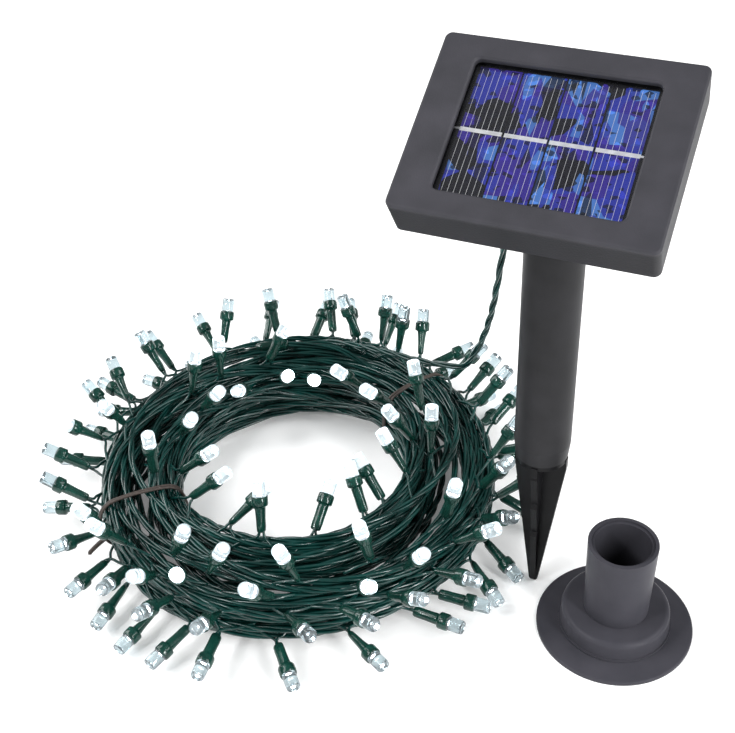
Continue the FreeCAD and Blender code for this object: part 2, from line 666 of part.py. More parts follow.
def segment_gap(a, b, c, d):
    """Shortest distance between two short segments, from points along both."""
    steps = [n / 6 for n in range(7)]
    return min(((a + (b - a) * s) - (c + (d - c) * t)).Length for s in steps for t in steps)


def lamp_places():
    """Foot and direction of each lamp round the coil, spread by rows and kept clear of each other."""
    rng = random.Random(7)
    lamp_length = size("holder_length") + size("lens_length")
    half_height = (size("coil_top") - size("coil_bottom")) / 2
    middle = (size("coil_top") + size("coil_bottom")) / 2
    bend = size("coil_rounding")
    stand_off = bend + 2.4
    lowest = size("lamp_collar_radius") + 1.4
    rows = [(26, -20), (24, 14), (20, 44), (14, 80), (16, 132)]
    blocked = [(LEAD_ROUTE[n], LEAD_ROUTE[n + 1]) for n in range(len(LEAD_ROUTE) - 1)]
    blocked.append((V(0, 0, 0), V(0, 0, 74)))
    found = []
    for count, rise in rows:
        for n in range(count):
            for attempt in range(60):
                around = (n + 0.5 + rng.uniform(-0.3, 0.3)) * 360 / count + rise + attempt * 1.5
                up = math.radians(rise + rng.uniform(-7, 12))
                away = V(math.cos(math.radians(around)), math.sin(math.radians(around)), 0)
                along = V(-away.y, away.x, 0)
                out = math.copysign(size("coil_half_width") - bend, math.cos(up))
                rise_to = math.copysign(half_height - bend, math.sin(up))
                height = max(middle + rise_to + stand_off * math.sin(up), lowest)
                foot = on_ring(around, out + stand_off * math.cos(up), height)
                direction = away * math.cos(up) + V(0, 0, 1) * math.sin(up) + along * rng.uniform(-0.6, 0.6)
                direction = (direction + V(0, 0, rng.uniform(-0.1, 0.35))).normalize()
                direction.z = max(direction.z, (lowest - foot.z) / lamp_length)
                direction.normalize()
                tip = foot + direction * lamp_length
                near = [segment_gap(foot, tip, a, b) for a, b in blocked]
                ties = [abs((around - tie + 180) % 360 - 180) for tie in TIES.values()]
                if min(near) > 9 and min(ties) > 5 and tip.z > lowest - 0.2:
                    found.append((foot, direction))
                    blocked.append((foot, tip))
                    break
    return found


def lamps():
    """Sleeve, clear cap and light-giving chip of every lamp, each kind in one node."""
    holders = []
    lenses = []
    dies = []
    collar_length = size("collar_length")
    body_length = size("holder_length") - collar_length
    lens_radius = size("lens_radius")
    for foot, direction in lamp_places():
        wide = size("holder_radius")
        sleeve = Part.makeCone(wide - 0.9, wide, body_length, foot, direction)
        neck = foot + direction * (body_length - 0.1)
        collar = Part.makeCylinder(size("lamp_collar_radius"), collar_length + 0.1, neck, direction)
        seat = foot + direction * (size("holder_length") - 2)
        pocket = Part.makeCylinder(lens_radius, 4, seat, direction)
        holders.append(sleeve.fuse(collar).cut(pocket))
        cap = Part.makeCylinder(lens_radius, size("lens_length") + 2, seat, direction)
        top = seat + direction * (size("lens_length") + 2)
        dimple = Part.makeCone(0.4, lens_radius - 0.5, 1.8, top - direction * 1.8, direction)
        chip_place = seat + direction * 1.6
        room = Part.makeCylinder(0.7, 0.6, chip_place, direction)
        lenses.append(cap.cut(dimple).cut(room))
        dies.append(Part.makeCylinder(0.6, 0.4, chip_place + direction * 0.1, direction))
    print("lamps:", len(holders))
    for name, label, shapes in (
        ("LampHolders", "lamp_holders", holders),
        ("LedLenses", "led_lenses", lenses),
        ("LedDies", "led_dies", dies),
    ):
        thing = doc.addObject("Part::Feature", name)
        thing.Shape = Part.makeCompound(shapes)
        keep(thing, label)


def string_end_cap():
    """Sealed sleeve on the last end of the cable, lying on top of the coil."""
    thing = doc.addObject("Part::Feature", "EndCap")
    start = on_ring(118, 2, size("coil_top") + 2.4)
    direction = V(-math.sin(math.radians(118)), math.cos(math.radians(118)), 0)
    sleeve = Part.makeCylinder(2.2, 12, start, direction)
    nose = Part.makeCone(2.2, 1.3, 3, start + direction * 12, direction)
    thing.Shape = sleeve.fuse(nose).removeSplitter()
    return thing


keep(bezel(), "panel_bezel", head_placement())
window_stack()
keep(rear_cover(), "rear_cover", head_placement())
keep(housing_screws(), "housing_screws", head_placement())
battery_parts()
circuit_parts()
keep(strain_relief(), "cable_strain_relief", head_placement())
keep(post_tube(), "post_tube")
keep(tilt_yoke(), "tilt_yoke")
pivot_parts()
keep(ground_stake(), "ground_stake")
keep(mounting_base(), "mounting_base")
keep(lead_cable(), "lead_cable")
keep(light_coil(), "light_coil")
for tie_name, tie_angle in TIES.items():
    keep(coil_tie(tie_name.title().replace("_", ""), tie_angle), tie_name)
lamps()
keep(string_end_cap(), "string_end_cap")
doc.recompute()

for thing in doc.Objects:
    broken = [s for s in thing.State if s in ("Invalid", "Error")]
    assert not broken, f"{thing.Name}: {broken}"
os.makedirs("parts", exist_ok=True)
for thing in sub_parts:
    shape = thing.Shape
    assert not shape.isNull() and shape.isValid(), thing.Label
    shape.exportStep(f"parts/{thing.Label}.step")
    print(f"{thing.Label}: {len(shape.Solids)} solid(s), volume {shape.Volume:.1f} mm3")
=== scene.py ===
"""Solar string lights: the looks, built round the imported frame. Everything is in metres."""
import json
import math

import bmesh
import bpy
import numpy as np
from mathutils import Matrix, Vector


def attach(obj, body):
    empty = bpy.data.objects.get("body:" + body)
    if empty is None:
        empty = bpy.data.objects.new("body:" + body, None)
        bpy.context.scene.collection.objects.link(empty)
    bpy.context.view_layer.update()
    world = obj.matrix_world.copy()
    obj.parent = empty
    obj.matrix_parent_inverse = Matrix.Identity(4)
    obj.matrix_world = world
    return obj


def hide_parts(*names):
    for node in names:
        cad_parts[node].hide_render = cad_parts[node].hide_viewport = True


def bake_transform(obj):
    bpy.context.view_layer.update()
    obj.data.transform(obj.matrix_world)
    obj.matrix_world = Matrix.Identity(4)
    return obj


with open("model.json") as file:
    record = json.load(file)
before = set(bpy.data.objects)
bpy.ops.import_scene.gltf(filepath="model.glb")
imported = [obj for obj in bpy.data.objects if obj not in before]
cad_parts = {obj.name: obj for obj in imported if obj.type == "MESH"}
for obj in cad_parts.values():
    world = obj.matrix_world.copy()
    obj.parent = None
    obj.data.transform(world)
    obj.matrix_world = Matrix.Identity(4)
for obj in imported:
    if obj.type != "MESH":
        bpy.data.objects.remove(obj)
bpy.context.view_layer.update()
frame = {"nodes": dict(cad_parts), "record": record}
MM = 0.001

# The head's own frame: at the hinge, tilted about X.
HINGE_HEIGHT = 0.203
TILT = math.radians(29)
HEAD_TO_WORLD = Matrix.Translation((0, 0, HINGE_HEIGHT)) @ Matrix.Rotation(TILT, 4, "X")

# ---------------------------------------------------------------- camera, floor and light


def make_camera():
    """A camera above and to the right of the front, slightly rolled."""
    azimuth, elevation, roll = math.radians(24.2), math.radians(38.27), math.radians(-2.7)
    place = (0.09039, -0.36645, 0.41359)
    back = Vector((math.sin(azimuth) * math.cos(elevation), -math.cos(azimuth) * math.cos(elevation),
                   math.sin(elevation)))
    right = Vector((math.cos(azimuth), math.sin(azimuth), 0))
    up = back.cross(right)
    side = right * math.cos(roll) + up * math.sin(roll)
    top = up * math.cos(roll) - right * math.sin(roll)
    data = bpy.data.cameras.new("camera")
    data.lens = 61.74
    data.clip_end = 20
    camera = bpy.data.objects.new("camera", data)
    bpy.context.collection.objects.link(camera)
    turn = Matrix((side, top, back)).transposed().to_4x4()
    camera.matrix_world = Matrix.Translation(place) @ turn
    bpy.context.scene.camera = camera


def make_floor():
    """A wide pale floor with a faint glow of its own, so that it stays white."""
    mesh = bpy.data.meshes.new("floor")
    reach = 6.0
    mesh.from_pydata([(-reach, -reach, 0), (reach, -reach, 0), (reach, reach, 0), (-reach, reach, 0)], [],
                     [(0, 1, 2, 3)])
    floor = bpy.data.objects.new("floor", mesh)
    bpy.context.collection.objects.link(floor)
    material, _, shader = node_material("floor_paper")
    shader.inputs["Base Color"].default_value = (0.93, 0.93, 0.93, 1)
    shader.inputs["Roughness"].default_value = 0.9
    shader.inputs["Emission Color"].default_value = (1, 1, 1, 1)
    shader.inputs["Emission Strength"].default_value = 0.14
    mesh.materials.append(material)


def make_light(name, place, target, size, power):
    """A rectangular soft box that looks at a target."""
    data = bpy.data.lights.new(name, "AREA")
    data.shape = "RECTANGLE"
    data.size, data.size_y = size
    data.energy = power
    lamp = bpy.data.objects.new(name, data)
    bpy.context.collection.objects.link(lamp)
    lamp.location = place
    lamp.rotation_euler = (Vector(target) - Vector(place)).to_track_quat("-Z", "Y").to_euler()


def make_sun(name, heading, energy):
    """A wide, soft sun that shines along a heading."""
    data = bpy.data.lights.new(name, "SUN")
    data.energy = energy
    data.angle = math.radians(34)
    lamp = bpy.data.objects.new(name, data)
    bpy.context.collection.objects.link(lamp)
    lamp.rotation_euler = Vector(heading).to_track_quat("-Z", "Y").to_euler()


def make_studio():
    """Pale surroundings, a soft sun from each side, two tall soft boxes and a small one for highlights."""
    world = bpy.data.worlds.new("studio")
    world.use_nodes = True
    world.node_tree.nodes["Background"].inputs["Color"].default_value = (1, 1, 1, 1)
    world.node_tree.nodes["Background"].inputs["Strength"].default_value = 0.32
    bpy.context.scene.world = world
    bpy.context.scene.view_settings.view_transform = "Standard"
    make_sun("sun_left", (0.75, 0.45, -0.95), 1.7)
    make_sun("sun_right", (-0.85, -0.25, -0.8), 1.5)
    make_light("right_box", (0.92, -0.5, 0.45), (0, 0, 0.12), (0.17, 1.1), 15)
    make_light("left_box", (-0.85, 0.15, 0.5), (0, 0, 0.12), (0.3, 1.0), 6)
    make_light("spark", (-0.55, -0.8, 0.75), (-0.1, 0, 0.03), (0.16, 0.16), 4)


# ---------------------------------------------------------------- the cord's route, lines and meshes

# The coil: a ring whose section is a rounded rectangle. Lengths are in millimetres, angles in degrees.
COIL_CENTRE = Vector((-0.117, 0.009, 0))
COIL_RADIUS = 71.5
HALF_WIDTH = 21.0
COIL_LOW, COIL_HIGH = 1.6, 32.5
COIL_MIDDLE = (COIL_LOW + COIL_HIGH) / 2
HALF_HEIGHT = (COIL_HIGH - COIL_LOW) / 2
ROUNDING = 12.5
TIES = {"coil_tie_front": 224.0, "coil_tie_back": 61.0}
TIE_SQUEEZE = 0.16
TIE_REACH = 14

# The lead, in metres, from the grommet's mouth down to the coil.
LEAD = [(-0.0200, 0, 0.203), (-0.0205, 0.0136, 0.1785), (-0.027, 0.025, 0.141), (-0.035, 0.039, 0.102),
        (-0.046, 0.053, 0.071), (-0.057, 0.065, 0.050), (-0.063, 0.0715, 0.0325)]

# The cord over its three strands, the radius of a strand and of the strands' orbit, the length of a twist
# and of a step along the cord.
CORD = 3.1
STRAND = 0.72
ORBIT = 0.83
TWIST = 42
PATH_STEP = 1.9

# The winding: whole turns, places a turn, where it starts and ends, how far round the section it moves with
# each turn, how deep a turn may lie, the steps that push the turns apart, and where the lead lands on it.
TURNS = 46
STATIONS = 24
START_ANGLE = 52.0
END_ANGLE = 118.0
FIRST_SHARE = 0.30
DRIFTS = [0.382, 0.382, -0.618]
DEPTHS = [0.0, 0.0, 0.0, 0.6, 3.4, 6.0]
RELAX_STEPS = 90
FIRST_STATION = 3
LANDING = 6


def ring_point(angle, across, height):
    """A point near the coil, from its angle in degrees and its place in the section in millimetres."""
    reach = (COIL_RADIUS + across) * MM
    turn = math.radians(angle)
    return COIL_CENTRE + Vector((reach * math.cos(turn), reach * math.sin(turn), height * MM))


def shell_point(share, inset):
    """A point of the bundle's section: a share of the way round, some millimetres inside its surface."""
    straight_x = HALF_WIDTH - ROUNDING
    straight_z = HALF_HEIGHT - ROUNDING
    turn = 2 * math.pi * share
    bend = ROUNDING - inset
    out, up = math.cos(turn), math.sin(turn)
    return np.array([math.copysign(straight_x, out) * min(1, abs(out) * 2.2) + bend * out,
                     math.copysign(straight_z, up) * min(1, abs(up) * 2.2) + bend * up])


def coil_sections():
    """Where every turn lies in the bundle's section at every station, pushed a diameter apart."""
    rng = np.random.default_rng(11)
    total = int(round(STATIONS * (TURNS + (END_ANGLE - START_ANGLE) / 360)))
    angles = START_ANGLE + 360 * np.arange(total) / STATIONS
    drift = rng.choice(DRIFTS, TURNS + 1)
    share = np.concatenate([[FIRST_SHARE], FIRST_SHARE + np.cumsum(drift)])
    depth = rng.choice(DEPTHS, TURNS + 2)
    phase = rng.uniform(0, 2 * math.pi, (TURNS + 2, 3))
    wish = np.zeros((total, 2))
    for n in range(total):
        turn, part = divmod(n, STATIONS)
        mix = part / STATIONS
        here = share[turn] * (1 - mix) + share[turn + 1] * mix
        swing = math.sin(math.pi * mix)
        here += 0.035 * math.sin(4 * math.pi * mix + phase[turn, 0]) * swing
        here += 0.012 * math.sin(10 * math.pi * mix + phase[turn, 1]) * swing
        inset = depth[turn] * (1 - mix) + depth[turn + 1] * mix + CORD / 2
        inset += 0.9 * math.sin(6 * math.pi * mix + phase[turn, 2])
        wish[n] = shell_point(here, inset)
    squeeze = np.ones(total)
    for tie in TIES.values():
        away = np.abs((angles - tie + 180) % 360 - 180)
        squeeze -= TIE_SQUEEZE * np.exp(-(away / TIE_REACH) ** 2)
    limit = np.array([HALF_WIDTH - CORD / 2, HALF_HEIGHT - CORD / 2])[None] * squeeze[:, None]
    place = wish * squeeze[:, None]
    for _ in range(RELAX_STEPS):
        place += 0.05 * (wish * squeeze[:, None] - place)
        place[1:-1] = 0.7 * place[1:-1] + 0.15 * (place[:-2] + place[2:])
        for first in range(STATIONS):
            spot = place[first::STATIONS]
            delta = spot[:, None] - spot[None]
            length = np.sqrt((delta ** 2).sum(-1)) + np.eye(len(spot))
            push = np.clip(CORD + 0.1 - length, 0, None) * (1 - np.eye(len(spot)))
            place[first::STATIONS] = spot + 0.45 * (delta / length[..., None] * push[..., None]).sum(1)
        outside = np.sqrt(((place / limit) ** 4).sum(1)) ** 0.5
        place /= np.maximum(1, outside)[:, None]
    place[:, 1] = np.maximum(place[:, 1] + COIL_MIDDLE, CORD / 2 + 0.2)
    return angles, place


def cord_route():
    """The cord's control points: the lead as it hangs, then the turns of the coil, then its end."""
    angles, place = coil_sections()
    points = [Vector(p) for p in LEAD[:-1]]
    for n in range(FIRST_STATION, len(angles) - FIRST_STATION):
        lift = max(0.0, 1 - (n - FIRST_STATION) / LANDING)
        across = place[n, 0] * (1 - lift) + 8.0 * lift
        height = place[n, 1] * (1 - lift) + (COIL_HIGH + 1.5) * lift
        points.append(ring_point(angles[n], across, height))
    for angle, height in ((END_ANGLE - 26, COIL_HIGH), (END_ANGLE - 12, COIL_HIGH + 2.2),
                          (END_ANGLE, COIL_HIGH + 2.4)):
        points.append(ring_point(angle, 2, height))
    return points


def smooth_line(points, steps):
    """The points of a NURBS spline that has these control points."""
    curve = bpy.data.curves.new("route", "CURVE")
    curve.dimensions = "3D"
    spline = curve.splines.new("NURBS")
    spline.points.add(len(points) - 1)
    for point, place in zip(spline.points, points):
        point.co = (*place, 1)
    spline.order_u = 3
    spline.use_endpoint_u = True
    spline.resolution_u = steps
    holder = bpy.data.objects.new("route", curve)
    bpy.context.collection.objects.link(holder)
    mesh = bpy.data.meshes.new_from_object(holder.evaluated_get(bpy.context.evaluated_depsgraph_get()))
    line = np.array([v.co for v in mesh.vertices])
    bpy.data.objects.remove(holder)
    bpy.data.curves.remove(curve)
    bpy.data.meshes.remove(mesh)
    return line


def even_steps(line, step):
    """The same line with points a step apart."""
    along = np.concatenate([[0], np.cumsum(np.linalg.norm(np.diff(line, axis=0), axis=1))])
    count = max(2, int(round(along[-1] / step)) + 1)
    wanted = np.linspace(0, along[-1], count)
    return np.stack([np.interp(wanted, along, line[:, k]) for k in range(3)], 1), wanted


def frames_along(line):
    """A steady pair of cross directions at each point of a line."""
    tangent = np.gradient(line, axis=0)
    tangent /= np.linalg.norm(tangent, axis=1)[:, None]
    side = np.zeros_like(line)
    here = np.cross(tangent[0], [0.3, 0.9, 0.1])
    for n, along in enumerate(tangent):
        here = here - along * here.dot(along)
        here /= np.linalg.norm(here)
        side[n] = here
    return side, np.cross(tangent, side)


def skin(base, rings, sides):
    """The faces of a closed tube of rings, whose first vertex is number base."""
    faces = []
    for n in range(rings - 1):
        a = base + n * sides
        faces += [(a + k, a + (k + 1) % sides, a + sides + (k + 1) % sides, a + sides + k)
                  for k in range(sides)]
    last = base + (rings - 1) * sides
    faces.append(tuple(base + k for k in reversed(range(sides))))
    faces.append(tuple(last + k for k in range(sides)))
    return faces


def tube_mesh(lines, radius, sides, name):
    """Round tubes of one radius along several lines, as one mesh."""
    verts, faces = [], []
    for line in lines:
        side, other = frames_along(line)
        turn = 2 * np.pi * np.arange(sides) / sides
        rings = (line[:, None] + radius * (np.cos(turn)[None, :, None] * side[:, None]
                                           + np.sin(turn)[None, :, None] * other[:, None]))
        faces += skin(len(verts), len(line), sides)
        verts += rings.reshape(-1, 3).tolist()
    mesh = bpy.data.meshes.new(name)
    mesh.from_pydata(verts, [], faces)
    mesh.shade_smooth()
    return mesh


def lathe(profile, sides, flat=None):
    """A turned shape round +Z, from (radius, height) in millimetres; flat squeezes Y per ring."""
    turn = 2 * np.pi * np.arange(sides) / sides
    rings = []
    for n, (radius, height) in enumerate(profile):
        squeeze = 1.0 if flat is None else flat[n]
        rings.append(np.stack([radius * MM * np.cos(turn), radius * MM * squeeze * np.sin(turn),
                               np.full(sides, height * MM)], 1))
    return np.concatenate(rings), skin(0, len(profile), sides)


def add_piece(name, mesh, body, material):
    """Put a mesh in the scene as a piece that rides on a body, or on none yet."""
    piece = bpy.data.objects.new(name, mesh)
    bpy.context.collection.objects.link(piece)
    mesh.materials.append(material)
    if body is not None:
        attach(piece, body)
    return piece


# ---------------------------------------------------------------- materials


def node_material(name):
    """A new node material, with its tree and its main shader."""
    material = bpy.data.materials.new(name)
    material.use_nodes = True
    tree = material.node_tree
    return material, tree, tree.nodes["Principled BSDF"]


def add_noise(tree, scale, detail=4.0, roughness=0.5, stretch=(1, 1, 1)):
    """A noise texture in the piece's own space."""
    place = tree.nodes.new("ShaderNodeTexCoord")
    mapping = tree.nodes.new("ShaderNodeMapping")
    mapping.inputs["Scale"].default_value = stretch
    noise = tree.nodes.new("ShaderNodeTexNoise")
    noise.inputs["Scale"].default_value = scale
    noise.inputs["Detail"].default_value = detail
    noise.inputs["Roughness"].default_value = roughness
    tree.links.new(place.outputs["Object"], mapping.inputs["Vector"])
    tree.links.new(mapping.outputs["Vector"], noise.inputs["Vector"])
    return noise


def add_ramp(tree, source, stops):
    """A colour ramp fed by a source, with (place, colour) stops."""
    ramp = tree.nodes.new("ShaderNodeValToRGB")
    ramp.color_ramp.elements[0].position = stops[0][0]
    ramp.color_ramp.elements[0].color = (*stops[0][1], 1)
    ramp.color_ramp.elements[1].position = stops[-1][0]
    ramp.color_ramp.elements[1].color = (*stops[-1][1], 1)
    for place, colour in stops[1:-1]:
        ramp.color_ramp.elements.new(place).color = (*colour, 1)
    tree.links.new(source, ramp.inputs["Fac"])
    return ramp


def add_range(tree, source, low, high):
    """Map a 0 to 1 source to a range."""
    node = tree.nodes.new("ShaderNodeMapRange")
    node.inputs["To Min"].default_value = low
    node.inputs["To Max"].default_value = high
    tree.links.new(source, node.inputs["Value"])
    return node


def add_bump(tree, shader, source, distance):
    """A bump from a source, in metres of height."""
    bump = tree.nodes.new("ShaderNodeBump")
    bump.inputs["Distance"].default_value = distance
    bump.inputs["Strength"].default_value = 1.0
    tree.links.new(source, bump.inputs["Height"])
    tree.links.new(bump.outputs["Normal"], shader.inputs["Normal"])


def add_product(tree, first, second):
    """The product of two sources."""
    node = tree.nodes.new("ShaderNodeMath")
    node.operation = "MULTIPLY"
    tree.links.new(first, node.inputs[0])
    tree.links.new(second, node.inputs[1])
    return node.outputs["Value"]


def mix_colour(tree, kind, share, first, second):
    """Mix two colours; with no share the second is laid over the first in full."""
    node = tree.nodes.new("ShaderNodeMix")
    node.data_type = "RGBA"
    node.blend_type = kind
    node.inputs["Factor"].default_value = 1.0
    if share is not None:
        tree.links.new(share, node.inputs["Factor"])
    tree.links.new(first, node.inputs["A"])
    tree.links.new(second, node.inputs["B"])
    return node.outputs["Result"]


def moulded_plastic(name, dark, light, rough, grain, grain_height, shine=0.5, stretch=(1, 1, 1)):
    """Moulded plastic: slightly uneven colour and gloss, and a fine texture of a given grain size."""
    material, tree, shader = node_material(name)
    cloud = add_noise(tree, 60, 3.0)
    ramp = add_ramp(tree, cloud.outputs["Fac"], [(0.3, dark), (0.72, light)])
    tree.links.new(ramp.outputs["Color"], shader.inputs["Base Color"])
    gloss = add_range(tree, cloud.outputs["Fac"], rough[0], rough[1])
    tree.links.new(gloss.outputs["Result"], shader.inputs["Roughness"])
    shader.inputs["Specular IOR Level"].default_value = shine
    fine = add_noise(tree, 1 / grain, 2.0, 0.6, stretch)
    add_bump(tree, shader, fine.outputs["Fac"], grain_height)
    return material


def paint_wall_shade(material):
    """Painted shade: the base colour is darkened below the head's grained face, down to 0.42 from 2.6 mm
    under it, so the walls under the face and the window's recess walls look like the shaded sides of a head
    lit from above.
    """
    tree = material.node_tree
    shader = next(node for node in tree.nodes if node.type == "BSDF_PRINCIPLED")
    colour = shader.inputs["Base Color"].links[0].from_socket
    up = HEAD_TO_WORLD.to_3x3() @ Vector((0, 0, 1))
    face = max(vert.co.dot(up) for vert in frame["nodes"]["panel_bezel"].data.vertices)
    place = tree.nodes.new("ShaderNodeTexCoord")
    height = tree.nodes.new("ShaderNodeVectorMath")
    height.operation = "DOT_PRODUCT"
    height.inputs[1].default_value = up
    # The painted shade: 1 at the face, falling to 0.42 from 2.6 mm below it.
    step = tree.nodes.new("ShaderNodeMapRange")
    for name, value in (("From Min", face - 2.6 * MM), ("From Max", face - 0.6 * MM),
                        ("To Min", 0.42), ("To Max", 1.0)):
        step.inputs[name].default_value = value
    tree.links.new(place.outputs["Object"], height.inputs[0])
    tree.links.new(height.outputs["Value"], step.inputs["Value"])
    shaded = mix_colour(tree, "MULTIPLY", None, colour, step.outputs["Result"])
    tree.links.new(shaded, shader.inputs["Base Color"])


def cord_vinyl():
    """Dark green vinyl of the three strands."""
    material, tree, shader = node_material("cord_vinyl")
    cloud = add_noise(tree, 90, 3.0)
    ramp = add_ramp(tree, cloud.outputs["Fac"], [(0.3, (0.0010, 0.018, 0.016)),
                                                 (0.7, (0.0022, 0.042, 0.036))])
    tree.links.new(ramp.outputs["Color"], shader.inputs["Base Color"])
    gloss = add_range(tree, cloud.outputs["Fac"], 0.13, 0.24)
    tree.links.new(gloss.outputs["Result"], shader.inputs["Roughness"])
    fine = add_noise(tree, 1500, 2.0)
    add_bump(tree, shader, fine.outputs["Fac"], 0.00002)
    return material


def sleeve_vinyl():
    """Translucent dark green of the lamp sleeves."""
    material, tree, shader = node_material("sleeve_vinyl")
    cloud = add_noise(tree, 150, 3.0)
    ramp = add_ramp(tree, cloud.outputs["Fac"], [(0.3, (0.004, 0.035, 0.027)),
                                                 (0.7, (0.010, 0.075, 0.055))])
    tree.links.new(ramp.outputs["Color"], shader.inputs["Base Color"])
    shader.inputs["Roughness"].default_value = 0.14
    shader.inputs["Transmission Weight"].default_value = 0.45
    shader.inputs["IOR"].default_value = 1.45
    fine = add_noise(tree, 700, 2.0)
    add_bump(tree, shader, fine.outputs["Fac"], 0.00005)
    return material


def lens_epoxy():
    """Clear epoxy lit by its chip. The attribute glow says how much; the attribute shade is painted shade,
    broken up by noise, that darkens the base colour most at the lens's top rim, in place of the dark inner
    reflections of a real lens.
    """
    material, tree, shader = node_material("lens_epoxy")
    # Painted shade: the shade attribute darkens the lens's base colour at its rim.
    rim_shade_paint = tree.nodes.new("ShaderNodeAttribute")
    rim_shade_paint.attribute_name = "shade"
    broken = add_noise(tree, 420, 3.0, 0.6)
    contrast = add_ramp(tree, broken.outputs["Fac"], [(0.42, (0.1, 0.1, 0.1)), (0.58, (1, 1, 1))])
    depth = add_product(tree, rim_shade_paint.outputs["Fac"], contrast.outputs["Color"])
    ramp = add_ramp(tree, depth, [(0.0, (0.40, 0.49, 0.52)), (0.9, (0.03, 0.05, 0.06))])
    tree.links.new(ramp.outputs["Color"], shader.inputs["Base Color"])
    shader.inputs["Roughness"].default_value = 0.04
    shader.inputs["Transmission Weight"].default_value = 1.0
    shader.inputs["IOR"].default_value = 1.5
    shader.inputs["Emission Color"].default_value = (0.86, 0.95, 1, 1)
    glow = tree.nodes.new("ShaderNodeAttribute")
    glow.attribute_name = "glow"
    crackle = add_noise(tree, 900, 3.0, 0.7)
    uneven = add_range(tree, crackle.outputs["Fac"], 0.6, 1.5)
    strength = add_product(tree, glow.outputs["Fac"], uneven.outputs["Result"])
    tree.links.new(strength, shader.inputs["Emission Strength"])
    return material


def chip_light():
    """The white light of the chip."""
    material, tree, shader = node_material("chip_light")
    spots = add_noise(tree, 2500, 2.0)
    ramp = add_ramp(tree, spots.outputs["Fac"], [(0.2, (0.8, 0.93, 1.0)), (0.8, (1, 1, 1))])
    tree.links.new(ramp.outputs["Color"], shader.inputs["Emission Color"])
    tree.links.new(ramp.outputs["Color"], shader.inputs["Base Color"])
    shader.inputs["Emission Strength"].default_value = 25
    return material


def metal(name, colour, rough, share=1.0):
    """Bare metal with fine scratches along one direction; a share below one makes it whiter and duller."""
    material, tree, shader = node_material(name)
    shader.inputs["Metallic"].default_value = share
    cloud = add_noise(tree, 400, 4.0)
    dark = tuple(c * 0.75 for c in colour)
    ramp = add_ramp(tree, cloud.outputs["Fac"], [(0.3, dark), (0.7, colour)])
    tree.links.new(ramp.outputs["Color"], shader.inputs["Base Color"])
    scratch = add_noise(tree, 1800, 3.0, 0.6, (1, 1, 0.1))
    gloss = add_range(tree, scratch.outputs["Fac"], rough * 0.8, rough * 1.4)
    tree.links.new(gloss.outputs["Result"], shader.inputs["Roughness"])
    add_bump(tree, shader, scratch.outputs["Fac"], 0.000015)
    return material


def clear_plate():
    """Thin clear sheet: it lets light through and mirrors more at a glancing angle."""
    material, tree, shader = node_material("clear_plate")
    shader.inputs["Base Color"].default_value = (0.9, 0.93, 1, 1)
    shader.inputs["Metallic"].default_value = 1.0
    haze = add_noise(tree, 220, 3.0)
    gloss = add_range(tree, haze.outputs["Fac"], 0.05, 0.13)
    tree.links.new(gloss.outputs["Result"], shader.inputs["Roughness"])
    edge = tree.nodes.new("ShaderNodeFresnel")
    edge.inputs["IOR"].default_value = 1.42
    tree.links.new(edge.outputs["Fac"], shader.inputs["Alpha"])
    return material


def strip_coordinates(tree):
    """Object coordinates that jump from one cell strip to the next, as each is cut from its own wafer."""
    edges = sorted(part[:, 0].min() for part in loose_parts("solar_cells"))
    pitch = (edges[-1] - edges[0]) / (len(edges) - 1)
    place = tree.nodes.new("ShaderNodeTexCoord")
    parts = tree.nodes.new("ShaderNodeSeparateXYZ")
    along = tree.nodes.new("ShaderNodeMath")
    along.operation = "SUBTRACT"
    along.inputs[1].default_value = edges[0] - 0.02 * pitch
    strip = tree.nodes.new("ShaderNodeMath")
    strip.operation = "SNAP"
    strip.inputs[1].default_value = pitch
    join = tree.nodes.new("ShaderNodeCombineXYZ")
    jump = tree.nodes.new("ShaderNodeVectorMath")
    jump.operation = "MULTIPLY_ADD"
    jump.inputs[1].default_value = (0, 9.7, 5.3)
    tree.links.new(place.outputs["Object"], parts.inputs["Vector"])
    tree.links.new(parts.outputs["X"], along.inputs[0])
    tree.links.new(along.outputs["Value"], strip.inputs[0])
    tree.links.new(strip.outputs["Value"], join.inputs["Y"])
    tree.links.new(strip.outputs["Value"], join.inputs["Z"])
    tree.links.new(join.outputs["Vector"], jump.inputs[0])
    tree.links.new(place.outputs["Object"], jump.inputs[2])
    return jump.outputs["Vector"]


